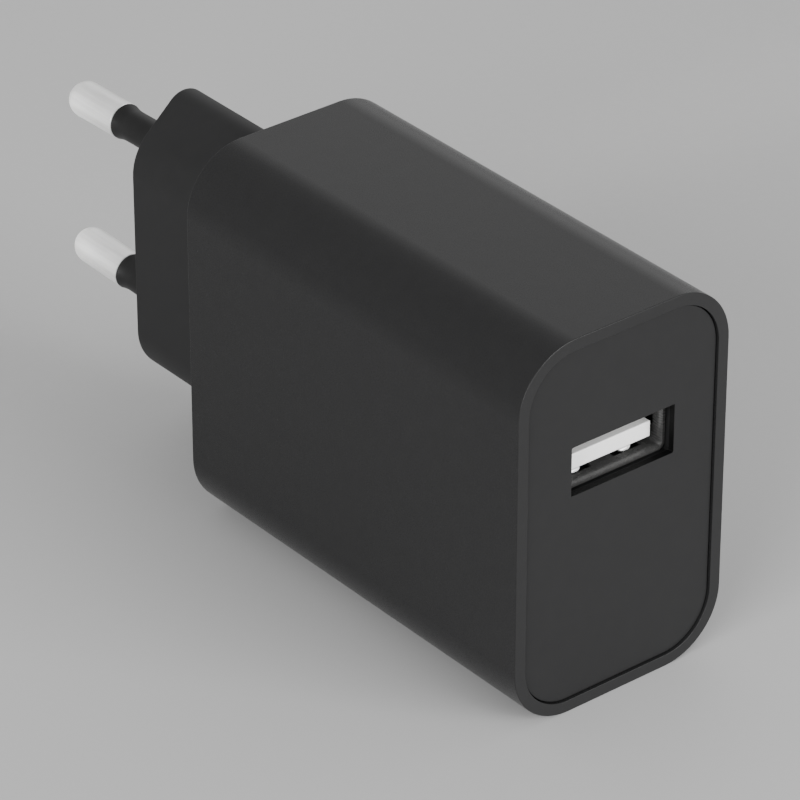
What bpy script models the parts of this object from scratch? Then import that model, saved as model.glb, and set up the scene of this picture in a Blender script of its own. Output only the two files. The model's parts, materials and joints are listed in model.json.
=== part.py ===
"""USB wall charger with a Europlug: +X is right seen from the USB side, the USB port faces -Y and
the mains pins point to +Y. It stands on its narrow side at z = 0, and the origin is under its
middle. All sizes are in metres."""

import math

import bmesh
import bpy

# Driving dimensions: the housing.
BODY_WIDTH = 0.0263
BODY_HEIGHT = 0.0418
BODY_LENGTH = 0.0512
BODY_CORNER = 0.0069
BODY_EDGE = 0.00015
WALL = 0.0019
REAR_WALL = 0.0020

# The front plate and its USB opening.
RIM = 0.0013
PLATE_RECESS = 0.0003
PLATE_THICKNESS = 0.0015
PLATE_GAP = 0.0001
SKIRT_DEPTH = 0.0026
SKIRT_WALL = 0.0010
COLLAR_WALL = 0.0009
PORT_WIDTH = 0.0129
PORT_HEIGHT = 0.0054
PORT_LAND = 0.0009
PORT_RISE = 0.0061
PORT_X = 0.00025

# The Europlug boss: a tall hexagon with rounded corners.
BOSS_WIDTH = 0.0137
BOSS_FLAT = 0.0236
BOSS_APEX = 0.0360
BOSS_LENGTH = 0.0179
BOSS_SIDE_CUT = 0.0026
BOSS_APEX_CUT = 0.0023
BOSS_EDGE = 0.00015
BOSS_WALL = 0.0019
BOSS_END_WALL = 0.0050
FLANGE_LIP = 0.0015
FLANGE_THICKNESS = 0.0016

# The mains pins, which lean towards each other, and their sleeves.
PIN_LENGTH = 0.0193
PIN_RADIUS = 0.0020
PIN_SHANK = 0.0014
PIN_SPACING = 0.0186
PIN_TIP_SPACING = 0.0176
SLEEVE_LENGTH = 0.0105
SLEEVE_LIP = 0.00195
SLEEVE_TAPER = 0.0015
SLEEVE_RADIUS = 0.00175
SLEEVE_BORE = 0.0015
SLEEVE_SEAT = 0.0019

# The USB socket.
SHELL_WIDTH = 0.0131
SHELL_HEIGHT = 0.0057
SHELL_SHEET = 0.0003
SHELL_LENGTH = 0.0133
SHELL_LEG_WIDTH = 0.0014
SLOT_LENGTH = 0.0052
SLOT_WIDTH = 0.0036
SLOT_SETBACK = 0.0013
TAB_X = 0.0032
TAB_WIDTH = 0.0016
TAB_RISE = 0.00055
SIDE_SLOT_WIDTH = 0.0026
SIDE_TAB_WIDTH = 0.0013
SIDE_TAB_RISE = 0.0003
SIDE_TAB_LIFT = 0.0005
TONGUE_WIDTH = 0.0111
TONGUE_THICKNESS = 0.00175
TONGUE_TOP = 0.0001
TONGUE_SETBACK = 0.0024
BLOCK_DEPTH = 0.0042
CONTACT_WIDTH = 0.0010
CONTACT_SHEET = 0.00025
CONTACT_OFFSETS = (-0.0035, -0.0010, 0.0010, 0.0035)
CONTACT_ROOT_DROP = 0.0005
GROOVE_SIDE_GAP = 0.00015
GROOVE_DEPTH = 0.0012
GROOVE_SETBACK = 0.0010
TAIL_PITCH = 0.0012

# The circuit board stands upright beside the left wall.
BOARD_FACE_X = -0.0070
BOARD_THICKNESS = 0.0016
BOARD_HEIGHT = 0.0352
BOARD_FRONT = -0.0393
BOARD_REAR = 0.0025

# The springs that press on the mains pins.
SPRING_SHEET = 0.0004
SPRING_WIDTH = 0.0030
SPRING_FOOT_Y = -0.0005
SPRING_Z = PIN_SPACING / 2 + 0.0002

# The transformer's core, seen from the board: its place, size and windows.
CORE_Y = -0.0155
CORE_Z = 0.0012
CORE_LENGTH = 0.0160
CORE_DEPTH = 0.0050
CORE_HALF = 0.00705
CORE_LEG = 0.0046
CORE_WINDOW = 0.0034
CORE_BACK = 0.0019
CORE_LIFT = 0.0006

# Fits and fineness.
GAP = 0.0003
CLOSE_GAP = 0.0001
LEAD = 0.0006
LEAD_HOLE = 0.0009
OVERSHOOT = 0.0010
CORNER_STEPS = 7
PIN_STEPS = 20
ROUND_STEPS = 16

# Places worked out from the driving dimensions.
TOTAL_LENGTH = BODY_LENGTH + BOSS_LENGTH + PIN_LENGTH
FRONT_Y = -TOTAL_LENGTH / 2
REAR_Y = FRONT_Y + BODY_LENGTH
BOSS_Y = REAR_Y + BOSS_LENGTH
MID_Z = BODY_HEIGHT / 2
PLATE_Y = FRONT_Y + PLATE_RECESS
PLATE_BACK_Y = PLATE_Y + PLATE_THICKNESS
PORT_Z = MID_Z + PORT_RISE
CAVITY_WIDTH = BODY_WIDTH - 2 * WALL
CAVITY_HEIGHT = BODY_HEIGHT - 2 * WALL
BOARD_BACK_X = BOARD_FACE_X - BOARD_THICKNESS
LEAD_END_X = BOARD_BACK_X - GAP
SHELL_Y = PLATE_BACK_Y + CLOSE_GAP
SHELL_REAR_Y = SHELL_Y + SHELL_LENGTH
SHELL_LEG_Y = (SHELL_Y + 0.0072, SHELL_Y + 0.0118)
BLOCK_Y = SHELL_REAR_Y - BLOCK_DEPTH
CONTACT_ROOT_Y = BLOCK_Y + 0.0002
CONTACT_ROOT_Z = PORT_Z - CONTACT_ROOT_DROP
TOWARDS_X = (0.0, math.pi / 2, 0.0)


def clear_scene():
    for thing in list(bpy.data.objects):
        bpy.data.objects.remove(thing, do_unlink=True)


def new_collection(name, hidden):
    collection = bpy.data.collections.new(name)
    collection.hide_render = hidden
    bpy.context.scene.collection.children.link(collection)
    return collection


def make_material(name, colour, roughness, metallic=0.0):
    material = bpy.data.materials.new(name)
    material.use_nodes = True
    shader = material.node_tree.nodes["Principled BSDF"]
    shader.inputs["Base Color"].default_value = (*colour, 1.0)
    shader.inputs["Roughness"].default_value = roughness
    shader.inputs["Metallic"].default_value = metallic
    return material


clear_scene()
PARTS = new_collection("usb_wall_charger", False)
CUTTERS = new_collection("cutters", True)


def add_object(name, bm, centre, material=None, rotation=(0.0, 0.0, 0.0)):
    """A part when it has a material, and a hidden helper when it has none."""
    bmesh.ops.recalc_face_normals(bm, faces=bm.faces)
    mesh = bpy.data.meshes.new(name)
    bm.to_mesh(mesh)
    bm.free()
    thing = bpy.data.objects.new(name, mesh)
    thing.location = centre
    thing.rotation_euler = rotation
    if material is None:
        CUTTERS.objects.link(thing)
        thing.hide_render = True
        thing.display_type = "WIRE"
    else:
        PARTS.objects.link(thing)
        mesh.materials.append(material)
    return thing


def combine(thing, other, operation):
    modifier = thing.modifiers.new(operation.title(), "BOOLEAN")
    modifier.operation = operation
    modifier.object = other


def cut(thing, cutter):
    combine(thing, cutter, "DIFFERENCE")


def join(thing, extra):
    combine(thing, extra, "UNION")


def add_cube(bm, size, centre=(0.0, 0.0, 0.0)):
    made = bmesh.ops.create_cube(bm, size=1.0)
    bmesh.ops.scale(bm, vec=size, verts=made["verts"])
    bmesh.ops.translate(bm, vec=centre, verts=made["verts"])


def box(name, size, centre, material=None, bevel=0.0):
    bm = bmesh.new()
    add_cube(bm, size)
    if bevel:
        bmesh.ops.bevel(bm, geom=list(bm.edges), offset=bevel, segments=1, affect="EDGES")
    return add_object(name, bm, centre, material)


def boxes(name, places):
    """A helper of several separate boxes, each given as (size, centre)."""
    bm = bmesh.new()
    for size, centre in places:
        add_cube(bm, size, centre)
    return add_object(name, bm, (0.0, 0.0, 0.0))


def runs_along_y(edge):
    a, b = (vert.co for vert in edge.verts)
    return abs(a.x - b.x) + abs(a.z - b.z) < 1e-6


def bevel_end_edges(bm, y, width):
    """Rounds the outline's edges on the end face at y."""
    rim = [edge for edge in bm.edges if all(abs(vert.co.y - y) < 1e-6 for vert in edge.verts)]
    bmesh.ops.bevel(bm, geom=rim, offset=width, segments=2, profile=0.5, affect="EDGES")


def rounded_block(name, size, centre, radius, material=None, edge=0.0):
    """A block with round corners seen along Y, and with its end edges rounded too if asked."""
    bm = bmesh.new()
    add_cube(bm, size)
    corners = [e for e in bm.edges if runs_along_y(e)]
    bmesh.ops.bevel(bm, geom=corners, offset=radius, segments=CORNER_STEPS, profile=0.5, affect="EDGES")
    if edge:
        bevel_end_edges(bm, -size[1] / 2, edge)
        bevel_end_edges(bm, size[1] / 2, edge)
    return add_object(name, bm, centre, material)


def body_block(name, inset, y_low, y_high, material=None, edge=0.0):
    """A block with the housing's outline, moved inwards by inset."""
    size = (BODY_WIDTH - 2 * inset, y_high - y_low, BODY_HEIGHT - 2 * inset)
    centre = (0.0, (y_low + y_high) / 2, MID_Z)
    return rounded_block(name, size, centre, BODY_CORNER - inset, material, edge)


def port_block(name, width, height, y_low, y_high, material=None):
    """A box about the USB socket's axis."""
    size = (width, y_high - y_low, height)
    return box(name, size, (PORT_X, (y_low + y_high) / 2, PORT_Z), material)


def hexagon_block(name, y_low, y_high, grow, material=None, edge=0.0):
    """The Europlug hexagon as a block along Y, its outline moved outwards by grow."""
    half_width = BOSS_WIDTH / 2 + grow
    slope = math.atan2(BOSS_APEX / 2 - BOSS_FLAT / 2, BOSS_WIDTH / 2)
    flat = BOSS_FLAT / 2 + grow * math.tan(math.pi / 4 - slope / 2)
    apex = BOSS_APEX / 2 + grow / math.cos(slope)
    outline = [(half_width, flat), (0.0, apex), (-half_width, flat)]
    outline += [(-x, -z) for x, z in outline]
    bm = bmesh.new()
    face = bm.faces.new([bm.verts.new((x, y_low, z)) for x, z in outline])
    extruded = bmesh.ops.extrude_face_region(bm, geom=[face])["geom"]
    moved = [item for item in extruded if isinstance(item, bmesh.types.BMVert)]
    bmesh.ops.translate(bm, vec=(0.0, y_high - y_low, 0.0), verts=moved)
    long_edges = [e for e in bm.edges if runs_along_y(e)]
    sides = [e for e in long_edges if abs(e.verts[0].co.x) > half_width / 2]
    side_cut = BOSS_SIDE_CUT + grow * math.tan((math.pi / 2 - slope) / 2)
    bmesh.ops.bevel(bm, geom=sides, offset=side_cut, segments=5, profile=0.5, affect="EDGES")
    tips = [e for e in bm.edges if runs_along_y(e) and abs(e.verts[0].co.x) < 1e-6]
    tip_cut = BOSS_APEX_CUT + grow * math.tan(slope)
    bmesh.ops.bevel(bm, geom=tips, offset=tip_cut, segments=5, profile=0.5, affect="EDGES")
    if edge:
        bevel_end_edges(bm, y_high, edge)
    return add_object(name, bm, (0.0, 0.0, MID_Z), material)


def turned(name, profile, centre, rotation, material=None, steps=ROUND_STEPS, ring=False):
    """Turns a profile of (radius, height) points, listed top to bottom, about local Z."""
    bm = bmesh.new()
    verts = [bm.verts.new((radius, 0.0, height)) for radius, height in profile]
    for a, b in zip(verts, verts[1:]):
        bm.edges.new((a, b))
    if ring:
        bm.edges.new((verts[-1], verts[0]))
    thing = add_object(name, bm, centre, material, rotation)
    screw = thing.modifiers.new("Turn", "SCREW")
    screw.axis = "Z"
    screw.steps = steps
    screw.render_steps = steps
    screw.use_merge_vertices = True
    screw.merge_threshold = 0.000001
    return thing


def strip(name, path, width, thickness, centre, material, along="Z"):
    """Sheet metal bent along a path, given as points across its width, and made thick."""
    bm = bmesh.new()
    if along == "Z":
        points = [(a, b, -width / 2) for a, b in path]
        across = (0.0, 0.0, width)
    else:
        points = [(-width / 2, a, b) for a, b in path]
        across = (width, 0.0, 0.0)
    verts = [bm.verts.new(point) for point in points]
    edges = [bm.edges.new(pair) for pair in zip(verts, verts[1:])]
    extruded = bmesh.ops.extrude_edge_only(bm, edges=edges)["geom"]
    moved = [item for item in extruded if isinstance(item, bmesh.types.BMVert)]
    bmesh.ops.translate(bm, vec=across, verts=moved)
    thing = add_object(name, bm, centre, material)
    solid = thing.modifiers.new("Sheet", "SOLIDIFY")
    solid.thickness = thickness
    solid.offset = 0.0
    solid.use_even_offset = True
    return thing


TOWARDS_X = (0.0, math.pi / 2, 0.0)


def make_housing(material):
    """The outer sleeve with its plate seat, cavity, boss hole and board rails."""
    inner_y = REAR_Y - REAR_WALL
    housing = body_block("housing", 0.0, FRONT_Y, REAR_Y, material, BODY_EDGE)
    cut(housing, body_block("plate_seat", RIM, FRONT_Y - OVERSHOOT, PLATE_BACK_Y))
    cut(housing, body_block("cavity", WALL, PLATE_Y, inner_y))
    cut(housing, hexagon_block("boss_hole", inner_y - OVERSHOOT, REAR_Y + OVERSHOOT, CLOSE_GAP))
    rail = (0.0009, 0.0340, 0.0025)
    rail_z = CAVITY_HEIGHT / 2 - 0.0011
    rail_y = BOARD_FRONT + 0.0030 + rail[1] / 2
    places = []
    for x in (BOARD_BACK_X - GAP - rail[0] / 2, BOARD_FACE_X + GAP + rail[0] / 2):
        for side in (-1, 1):
            places.append((rail, (x, rail_y, MID_Z + side * rail_z)))
    join(housing, boxes("board_rails", places))


def make_face_plate(material):
    """The recessed plate, with a skirt inside the housing and a collar round the USB socket."""
    root_y = PLATE_Y + PLATE_THICKNESS / 2
    rear_y = PLATE_BACK_Y + SKIRT_DEPTH
    cut_y = rear_y + OVERSHOOT
    skirt_inset = WALL + GAP
    plate = body_block("face_plate", RIM + PLATE_GAP, PLATE_Y, PLATE_BACK_Y, material)
    join(plate, body_block("skirt", skirt_inset, root_y, rear_y))
    cut(plate, body_block("skirt_hollow", skirt_inset + SKIRT_WALL, PLATE_BACK_Y, cut_y))
    hole_width = SHELL_WIDTH + 2 * GAP
    hole_height = SHELL_HEIGHT + 2 * GAP
    collar_width = hole_width + 2 * COLLAR_WALL
    collar_height = hole_height + 2 * COLLAR_WALL
    join(plate, port_block("socket_collar", collar_width, collar_height, root_y, rear_y))
    cut(plate, port_block("collar_hole", hole_width, hole_height, PLATE_Y + PORT_LAND, cut_y))
    cut(plate, port_block("port_opening", PORT_WIDTH, PORT_HEIGHT, FRONT_Y, PLATE_BACK_Y))


def pin_place(side):
    """Where a pin leaves the boss, and the turn that points local Z along it."""
    lean = math.asin((PIN_SPACING - PIN_TIP_SPACING) / 2 / PIN_LENGTH)
    place = (0.0, BOSS_Y, MID_Z + side * PIN_SPACING / 2)
    return place, (-(math.pi / 2 + side * lean), 0.0, 0.0)


def make_plug_block(material):
    """The Europlug boss: hollow behind its end wall, with a flange inside the housing."""
    flange_back = REAR_Y - REAR_WALL - CLOSE_GAP
    flange_low = flange_back - FLANGE_THICKNESS
    root_y = flange_back - FLANGE_THICKNESS / 2
    block = hexagon_block("plug_block", root_y, BOSS_Y, 0.0, material, BOSS_EDGE)
    join(block, hexagon_block("flange", flange_low, flange_back, FLANGE_LIP))
    hollow_y = flange_low - OVERSHOOT, BOSS_Y - BOSS_END_WALL
    cut(block, hexagon_block("boss_hollow", *hollow_y, -BOSS_WALL))
    seat_radius = SLEEVE_RADIUS + CLOSE_GAP
    seat_floor = -SLEEVE_SEAT - CLOSE_GAP
    bore_end = -BOSS_END_WALL - OVERSHOOT
    profile = [(0.0, OVERSHOOT), (seat_radius, OVERSHOOT), (seat_radius, seat_floor)]
    profile += [(SLEEVE_BORE, seat_floor), (SLEEVE_BORE, bore_end), (0.0, bore_end)]
    for side, word in ((1, "upper"), (-1, "lower")):
        place, turn = pin_place(side)
        cut(block, turned("pin_bore_" + word, profile, place, turn, steps=PIN_STEPS))


def make_pin(word, side, material):
    tip_steps = 6
    angles = [math.pi / 2 * step / tip_steps for step in range(tip_steps + 1)]
    tip_z = PIN_LENGTH - PIN_RADIUS
    profile = [(PIN_RADIUS * math.sin(a), tip_z + PIN_RADIUS * math.cos(a)) for a in angles]
    shoulder = SLEEVE_LENGTH + CLOSE_GAP
    head_top = -BOSS_END_WALL - CLOSE_GAP
    head_bottom = head_top - 0.0015
    tail_end = head_bottom - 0.0040
    head_radius = 0.0022
    tail_radius = 0.0010
    profile += [(PIN_RADIUS, shoulder), (PIN_SHANK, shoulder), (PIN_SHANK, head_top)]
    profile += [(head_radius, head_top), (head_radius, head_bottom), (tail_radius, head_bottom)]
    profile += [(tail_radius, tail_end), (0.0, tail_end)]
    place, turn = pin_place(side)
    turned("pin_" + word, profile, place, turn, material, PIN_STEPS)


def make_sleeve(word, side, material):
    """The insulating sleeve, as wide as the pin at its end and slimmer towards the boss."""
    top, bottom = SLEEVE_LENGTH, -SLEEVE_SEAT
    profile = [(SLEEVE_LIP, top), (SLEEVE_RADIUS, top - SLEEVE_TAPER), (SLEEVE_RADIUS, bottom)]
    profile += [(SLEEVE_BORE, bottom), (SLEEVE_BORE, top)]
    place, turn = pin_place(side)
    turned("pin_sleeve_" + word, profile, place, turn, material, PIN_STEPS, ring=True)


def make_contact_spring(word, side, material):
    """A strip from the board to the pin's tail, which it touches with a bend."""
    touch_x = -0.0010 - GAP - SPRING_SHEET / 2
    path = [(LEAD_END_X, SPRING_FOOT_Y), (-0.0030, SPRING_FOOT_Y), (-0.0018, 0.0035)]
    path += [(touch_x - 0.0004, 0.0125), (touch_x, 0.0150), (touch_x - 0.0006, 0.0174)]
    centre = (0.0, 0.0, MID_Z + side * SPRING_Z)
    strip("contact_spring_" + word, path, SPRING_WIDTH, SPRING_SHEET, centre, material)


def tab_path(rise):
    """A spring tab's middle line as (y, inward) points: root at the rear, curled out in front."""
    free_y = SHELL_Y + SLOT_SETBACK + GAP
    root_y = SHELL_Y + SLOT_SETBACK + SLOT_LENGTH
    hump = [(free_y + 0.0017, rise), (free_y + 0.0009, rise)]
    return [(root_y + GAP, 0.0), (root_y, 0.0), *hump, (free_y, 0.0)]


def make_usb_shell(material):
    """The sheet-metal shell, with spring tabs cut free on three sides and legs in the board."""
    inner_width = SHELL_WIDTH - 2 * SHELL_SHEET
    inner_height = SHELL_HEIGHT - 2 * SHELL_SHEET
    wall_x = (SHELL_WIDTH - SHELL_SHEET) / 2
    wall_z = (SHELL_HEIGHT - SHELL_SHEET) / 2
    shell = port_block("usb_shell", SHELL_WIDTH, SHELL_HEIGHT, SHELL_Y, SHELL_REAR_Y, material)
    inside_y = SHELL_Y - OVERSHOOT, SHELL_REAR_Y + OVERSHOOT
    cut(shell, port_block("shell_inside", inner_width, inner_height, *inside_y))
    slot_y = SHELL_Y + SLOT_SETBACK + SLOT_LENGTH / 2
    slot = (SLOT_WIDTH, SLOT_LENGTH, 4 * SHELL_SHEET)
    side_slot = (4 * SHELL_SHEET, SLOT_LENGTH, SIDE_SLOT_WIDTH)
    slots = []
    legs = []
    leg_high_x = PORT_X - SHELL_WIDTH / 2 + 2 * SHELL_SHEET
    leg = (leg_high_x - LEAD_END_X, SHELL_LEG_WIDTH, SHELL_SHEET)
    for side in (-1, 1):
        z = PORT_Z + side * wall_z
        slots += [(slot, (PORT_X + tab_x, slot_y, z)) for tab_x in (-TAB_X, TAB_X)]
        slots.append((side_slot, (PORT_X + side * wall_x, slot_y, PORT_Z + SIDE_TAB_LIFT)))
        legs += [(leg, (leg_high_x - leg[0] / 2, y, z)) for y in SHELL_LEG_Y]
    cut(shell, boxes("tab_slots", slots))
    join(shell, boxes("shell_legs", legs))
    for side, word in ((-1, "low"), (1, "high")):
        flat_path = [(y, -side * inward) for y, inward in tab_path(TAB_RISE)]
        for number, tab_x in ((1, -TAB_X), (2, TAB_X)):
            centre = (PORT_X + tab_x, 0.0, PORT_Z + side * wall_z)
            name = "tab_%s_%d" % (word, number)
            join(shell, strip(name, flat_path, TAB_WIDTH, SHELL_SHEET, centre, None, along="X"))
        side_path = [(-side * inward, y) for y, inward in tab_path(SIDE_TAB_RISE)]
        centre = (PORT_X + side * wall_x, 0.0, PORT_Z + SIDE_TAB_LIFT)
        join(shell, strip("side_tab_" + word, side_path, SIDE_TAB_WIDTH, SHELL_SHEET, centre, None))


def make_usb_insulator(material):
    """The white block with its tongue, grooved for the four contacts."""
    clear = 2 * (CLOSE_GAP + SHELL_SHEET)
    width, height = SHELL_WIDTH - clear, SHELL_HEIGHT - clear
    block = port_block("usb_insulator", width, height, BLOCK_Y, SHELL_REAR_Y, material)
    tongue_y = PLATE_Y + TONGUE_SETBACK
    tongue = (TONGUE_WIDTH, BLOCK_Y + OVERSHOOT - tongue_y, TONGUE_THICKNESS)
    tongue_z = PORT_Z + TONGUE_TOP - TONGUE_THICKNESS / 2
    join(block, box("tongue", tongue, (PORT_X, tongue_y + tongue[1] / 2, tongue_z)))
    low_y, high_y = tongue_y + GROOVE_SETBACK, SHELL_REAR_Y + OVERSHOOT
    low_z = PORT_Z + TONGUE_TOP - GROOVE_DEPTH
    high_z = PORT_Z + TONGUE_TOP + OVERSHOOT
    groove = (CONTACT_WIDTH + 2 * GROOVE_SIDE_GAP, high_y - low_y, high_z - low_z)
    middle_y, middle_z = (low_y + high_y) / 2, (low_z + high_z) / 2
    places = [(groove, (PORT_X + offset, middle_y, middle_z)) for offset in CONTACT_OFFSETS]
    cut(block, boxes("contact_grooves", places))


def make_usb_contact(number, x, material):
    """A blade whose origin is its root, where it bends when a plug presses it down."""
    path = [(0.0, 0.0), (-0.0046, 0.00078), (-0.0056, 0.00082), (-0.0065, 0.0003)]
    root = (x, CONTACT_ROOT_Y, CONTACT_ROOT_Z)
    name = "usb_contact_%d" % number
    strip(name, path, CONTACT_WIDTH, CONTACT_SHEET, root, material, along="X")


def tail_y(number):
    return SHELL_REAR_Y + 0.0006 + TAIL_PITCH * (number - 1)


def make_usb_tail(number, x, material):
    """The fixed end of a contact: back through the block, then across to the board."""
    bend_y = tail_y(number)
    start_y = CONTACT_ROOT_Y + CLOSE_GAP
    run = (CONTACT_WIDTH * 0.8, bend_y - start_y, CONTACT_SHEET)
    centre = (x, (start_y + bend_y) / 2, CONTACT_ROOT_Z)
    tail = box("usb_tail_%d" % number, run, centre, material)
    across = (x - LEAD_END_X + run[0] / 2, LEAD, CONTACT_SHEET)
    across_centre = (LEAD_END_X + across[0] / 2, bend_y, CONTACT_ROOT_Z)
    join(tail, box("tail_bend_%d" % number, across, across_centre))


BOARD_HOLES = []


def add_leads(thing, places, x_high):
    """Joins square leads to a component, from x_high through the board, at (y, z) places."""
    size = (x_high - LEAD_END_X, LEAD, LEAD)
    centre_x = (x_high + LEAD_END_X) / 2
    leads = [(size, (centre_x, y, MID_Z + z)) for y, z in places]
    join(thing, boxes(thing.name + "_leads", leads))
    BOARD_HOLES.extend(places)


def make_capacitor(name, y, z, radius, height, pitch, material):
    """A can capacitor that stands on the board, with a crimp near its foot."""
    groove, crimp = 0.0003, 0.0018
    profile = [(0.0, height), (radius - groove, height), (radius, height - groove)]
    profile += [(radius, crimp + 0.0004), (radius - groove, crimp), (radius, crimp - 0.0004)]
    profile += [(radius, 0.0), (0.0, 0.0)]
    start = BOARD_FACE_X + GAP
    can = turned(name, profile, (start, y, MID_Z + z), TOWARDS_X, material)
    add_leads(can, [(y, z - pitch / 2), (y, z + pitch / 2)], start + crimp / 3)


def make_core_half(name, low_x, opens_up, material):
    """One E-shaped ferrite: a block with two winding windows cut from its open side."""
    size = (CORE_HALF, CORE_DEPTH, CORE_LENGTH)
    centre = (low_x + CORE_HALF / 2, CORE_Y, MID_Z + CORE_Z)
    core = box(name, size, centre, material)
    window = (CORE_HALF, CORE_DEPTH + OVERSHOOT, CORE_WINDOW)
    shift = CORE_BACK if opens_up else -CORE_BACK
    offset = (CORE_LEG + CORE_WINDOW) / 2
    places = [(window, (centre[0] + shift, CORE_Y, centre[2] + side * offset)) for side in (-1, 1)]
    cut(core, boxes(name + "_windows", places))


def make_transformer(ferrite, plastic, tape):
    """Two core halves face to face, with the bobbin and its winding round their middle legs."""
    low_x = BOARD_FACE_X + CORE_LIFT
    make_core_half("transformer_core_a", low_x, True, ferrite)
    make_core_half("transformer_core_b", low_x + CORE_HALF + CLOSE_GAP, False, ferrite)
    low = low_x + CORE_BACK + CLOSE_GAP
    high = low_x + 2 * CORE_HALF - CORE_BACK
    middle = ((low + high) / 2, CORE_Y, MID_Z + CORE_Z)
    flange = 0.0008
    flange_z = CORE_LEG + 2 * CORE_WINDOW - 2 * GAP
    flange_y = 0.0130
    tube_wall = 0.0006
    tube = (high - low, CORE_DEPTH + 2 * (CLOSE_GAP + tube_wall), CORE_LEG + 2 * (CLOSE_GAP + tube_wall))
    bobbin = box("transformer_bobbin", tube, middle, plastic)
    flange_size = (flange, flange_y, flange_z)
    places = [(flange_size, (x, CORE_Y, middle[2])) for x in (low + flange / 2, high - flange / 2)]
    join(bobbin, boxes("bobbin_flanges", places))
    leg_hole = (tube[0] + OVERSHOOT, CORE_DEPTH + 2 * CLOSE_GAP, CORE_LEG + 2 * CLOSE_GAP)
    cut(bobbin, box("bobbin_hole", leg_hole, middle))
    pin_rows = []
    for side in (-1, 1):
        pin_rows += [(CORE_Y + side * 0.0058, CORE_Z + step * 0.0040) for step in (-1, 0, 1)]
    add_leads(bobbin, pin_rows, low + flange / 2)
    winding_size = (high - low - 2 * (flange + CLOSE_GAP), flange_y - 0.0010, flange_z - 0.0004)
    corner = 0.0015
    bm = bmesh.new()
    add_cube(bm, winding_size)
    upright = [e for e in bm.edges if abs(e.verts[0].co.x - e.verts[1].co.x) > winding_size[0] / 2]
    bmesh.ops.bevel(bm, geom=upright, offset=corner, segments=4, profile=0.5, affect="EDGES")
    winding = add_object("transformer_winding", bm, middle, tape)
    hole = (tube[0], tube[1] + 2 * CLOSE_GAP, tube[2] + 2 * CLOSE_GAP)
    cut(winding, box("winding_hole", hole, middle))


def make_choke(ferrite, copper):
    """A drum core with its winding, standing on the board."""
    y, z = -0.0075, 0.0135
    flange, core, height, lip = 0.0028, 0.0012, 0.0070, 0.0010
    start = BOARD_FACE_X + GAP
    profile = [(0.0, height), (flange, height), (flange, height - lip), (core, height - lip)]
    profile += [(core, lip), (flange, lip), (flange, 0.0), (0.0, 0.0)]
    drum = turned("choke_core", profile, (start, y, MID_Z + z), TOWARDS_X, ferrite)
    add_leads(drum, [(y - 0.0015, z), (y + 0.0015, z)], start + lip / 2)
    outer, inner = flange - 0.0002, core + CLOSE_GAP
    low, high = lip + CLOSE_GAP, height - lip - CLOSE_GAP
    profile = [(outer, high), (outer, low), (inner, low), (inner, high)]
    turned("choke_winding", profile, (start, y, MID_Z + z), TOWARDS_X, copper, ring=True)


def make_fuse_resistor(material):
    """An axial part lying along Y, on two bent leads."""
    y, z, rise = -0.0042, -0.0145, 0.0022
    radius, half, dome = 0.0016, 0.0032, 0.0006
    lead_y = half + 0.0011
    profile = [(0.0, half), (radius - dome, half), (radius, half - dome), (radius, dome - half)]
    profile += [(radius - dome, -half), (0.0, -half)]
    centre = (BOARD_FACE_X + rise, y, MID_Z + z)
    body = turned("fuse_resistor", profile, centre, (math.pi / 2, 0.0, 0.0), material)
    wire = (LEAD, 2 * lead_y + LEAD, LEAD)
    join(body, box("fuse_wire", wire, centre))
    add_leads(body, [(y - lead_y, z), (y + lead_y, z)], centre[0] + LEAD / 2)


def make_safety_capacitor(material):
    """A disc capacitor standing on edge."""
    y, z, radius, half = -0.0262, -0.0095, 0.0034, 0.0014
    edge = 0.0005
    profile = [(0.0, half), (radius - edge, half), (radius, half - edge), (radius, edge - half)]
    profile += [(radius - edge, -half), (0.0, -half)]
    centre = (BOARD_FACE_X + 0.0008 + radius, y, MID_Z + z)
    disc = turned("safety_capacitor", profile, centre, (math.pi / 2, 0.0, 0.0), material)
    add_leads(disc, [(y, z - 0.0020), (y, z + 0.0020)], centre[0] - radius / 3)


def make_bridge_rectifier(material):
    y, z = -0.0020, -0.0035
    size = (0.0026, 0.0046, 0.0064)
    centre = (BOARD_FACE_X + 0.0006 + size[0] / 2, y, MID_Z + z)
    body = box("bridge_rectifier", size, centre, material, bevel=0.0002)
    leads = [(y + a * 0.0014, z + b * 0.0025) for a in (-1, 1) for b in (-1, 1)]
    add_leads(body, leads, centre[0])


def make_surface_part(name, y, z, size, leg_pairs, material):
    """A flat part on the board's back, with bent legs along its two long sides."""
    surface = BOARD_BACK_X - CLOSE_GAP
    rise, foot, sheet = 0.0002, 0.0007, 0.0002
    centre = (surface - rise - size[0] / 2, y, MID_Z + z)
    body = box(name, size, centre, material, bevel=0.0002)
    if not leg_pairs:
        return
    pitch = size[1] / leg_pairs
    width = pitch * 0.35
    arm = (sheet, width, 2 * foot)
    drop = (size[0] / 2 + sheet / 2, width, sheet)
    places = []
    for step in range(leg_pairs):
        leg_y = y + (step - (leg_pairs - 1) / 2) * pitch
        for side in (-1, 1):
            edge_z = centre[2] + side * size[2] / 2
            places.append((arm, (surface - size[0] / 2, leg_y, edge_z)))
            places.append((drop, (surface - drop[0] / 2, leg_y, edge_z + side * foot)))
    join(body, boxes(name + "_legs", places))
    body.modifiers[-1].use_self = True


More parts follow.
